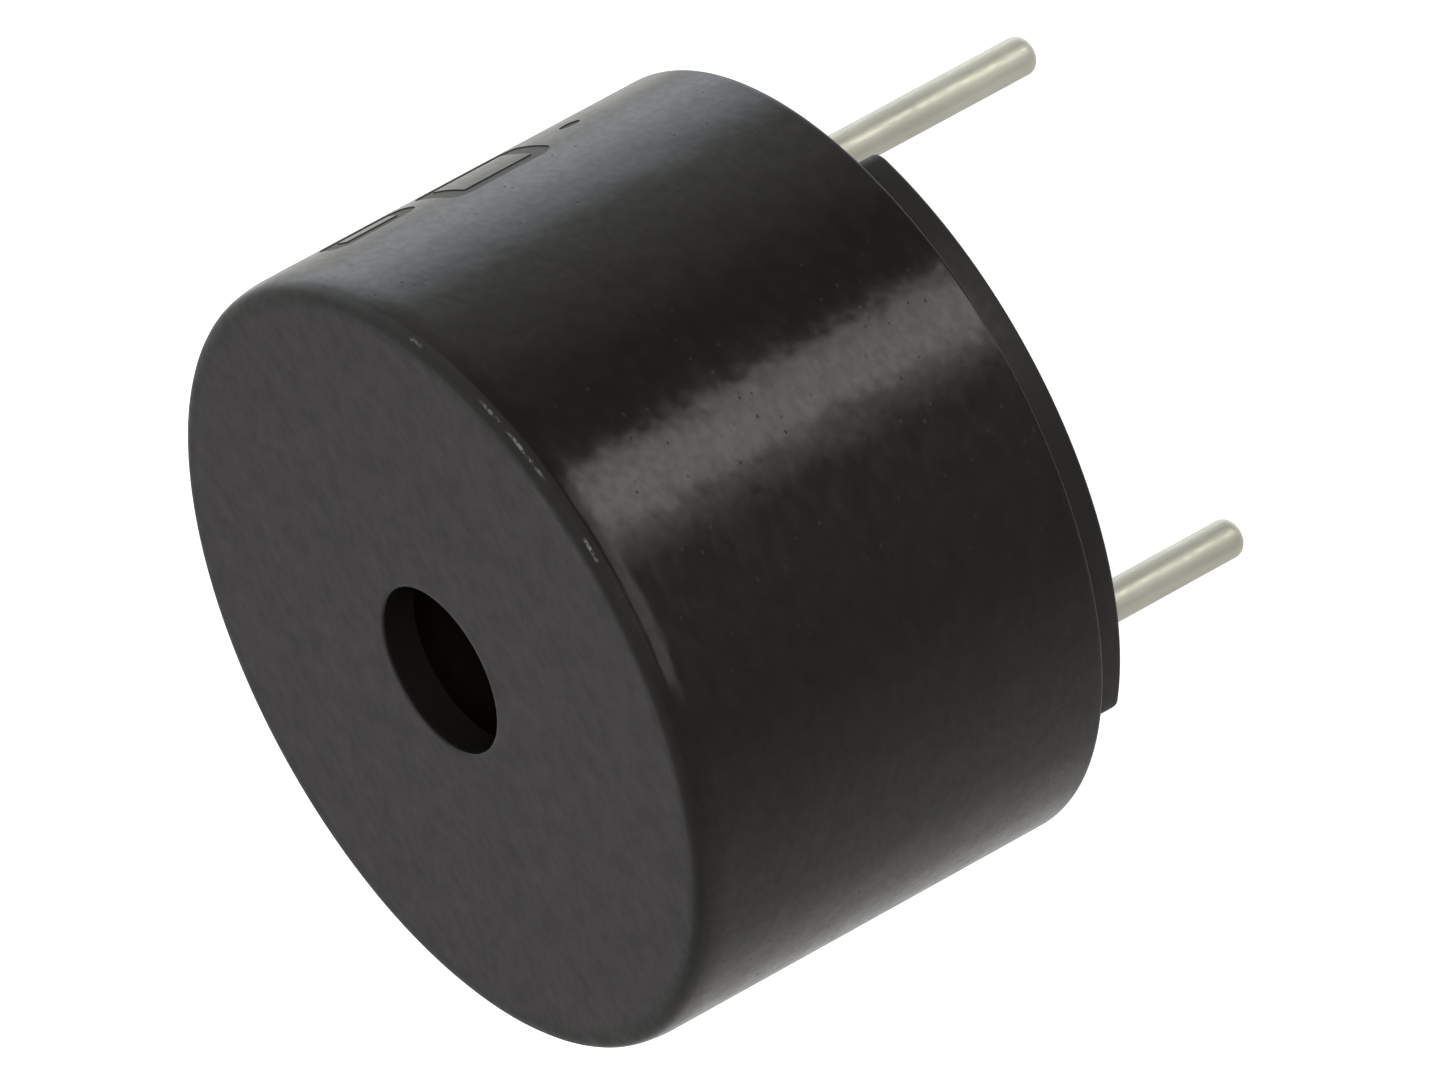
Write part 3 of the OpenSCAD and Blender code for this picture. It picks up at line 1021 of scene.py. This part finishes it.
housing = finishPiece(makeCup(), "housing_shell", "casePlastic")
for cell in cellShape["cells"]:
    combine(housing, finishPiece(makeCell(*cell), "cutter", "casePlastic"), "DIFFERENCE")
combine(housing, finishPiece(makeDot(), "cutter", "casePlastic"), "DIFFERENCE")
for turn in (0, 180):
    bm = makeFoot()
    turned(bm, bm.verts, math.radians(turn))
    combine(housing, finishPiece(bm, "foot", "casePlastic"), "UNION")
# the joined shape is made a piece again, so that its own angles say which edges are sharp
bm = bmesh.new()
bm.from_mesh(housing.data)
bpy.data.objects.remove(housing)
housing = finishPiece(bm, "housing_shell", "casePlastic")
standFor(housing, "housing")
print("housing:", len(housing.data.polygons), "faces")


# pins

pinShape = {
    "steps": 48,
    "rows": 110,
    "tip": 0.2 * mm,
    "tipRows": 8,
    "inSeal": 0.05 * mm,  # how far the leg reaches into the seal
    "unevenness": 0.015,  # share of the radius that the tin coat varies by
    "dentStretch": (1.2, 1.2, 0.5),
    "dentScale": 1.6,
    "sharpAngle": 50,
}


def makePin(name, node, x, seed):
    bm = bmesh.new()
    top = sealLow.z + pinShape["inSeal"]
    corners = ((0, pinTip), (pinRadius, pinTip), (pinRadius, top), (0, top))
    verts = [bm.verts.new((radius, 0, level)) for radius, level in corners]
    edges = [bm.edges.new(pair) for pair in zip(verts, verts[1:])]
    spinRound(bm, verts + edges, pinShape["steps"])
    roundEdges(bm, ringEdges(bm, pinRadius, pinTip), pinShape["tip"], pinShape["tipRows"])
    upright = [edge for edge in bm.edges if abs(edge.verts[0].co.z - edge.verts[1].co.z) > mm]
    bmesh.ops.subdivide_edges(bm, edges=upright, cuts=pinShape["rows"], use_grid_fill=True)
    for vert in bm.verts:
        spot = Vector(part * share for part, share in zip(vert.co, pinShape["dentStretch"]))
        spot = spot / mm + Vector((seed, 0, 0))
        dent = 0.5 + 0.5 * noise.noise(spot * pinShape["dentScale"])  # from -1 to 1, made 0 to 1
        vert.co.xy *= 1 - pinShape["unevenness"] * max(0.0, min(1.0, dent))
    bmesh.ops.translate(bm, verts=bm.verts, vec=(x, 0, 0))
    pin = finishPiece(bm, name, "tinnedPin", pinShape["sharpAngle"])
    standFor(pin, node)


makePin("pin_positive", "positive_pin", pinX, 3.0)
makePin("pin_negative", "negative_pin", -pinX, 11.0)
print("pins made")


# better materials for the nodes whose shape stays

nodeFinish = {
    "support_ring": "ringPlastic",
    "diaphragm": "shadedSpringSteel",
    "armature_disc": "softIron",
    "ring_magnet": "magnetFerrite",
    "pole_core": "softIron",
    "yoke_plate": "platedIron",
    "drive_winding": "copperWire",
    "sense_winding": "copperWire",
    "circuit_board": "boardLaminate",
    "drive_transistor": "chipPlastic",
    "base_resistor": "chipCeramic",
    "positive_solder": "solder",
    "negative_solder": "solder",
    "lead_solder": "solder",
    "epoxy_seal": "epoxyResin",
}
for nodeName, finish in nodeFinish.items():
    for materialSlot in nodes[nodeName].material_slots:
        materialSlot.material = finishes[finish]
print("frame nodes finished:", len(nodeFinish))
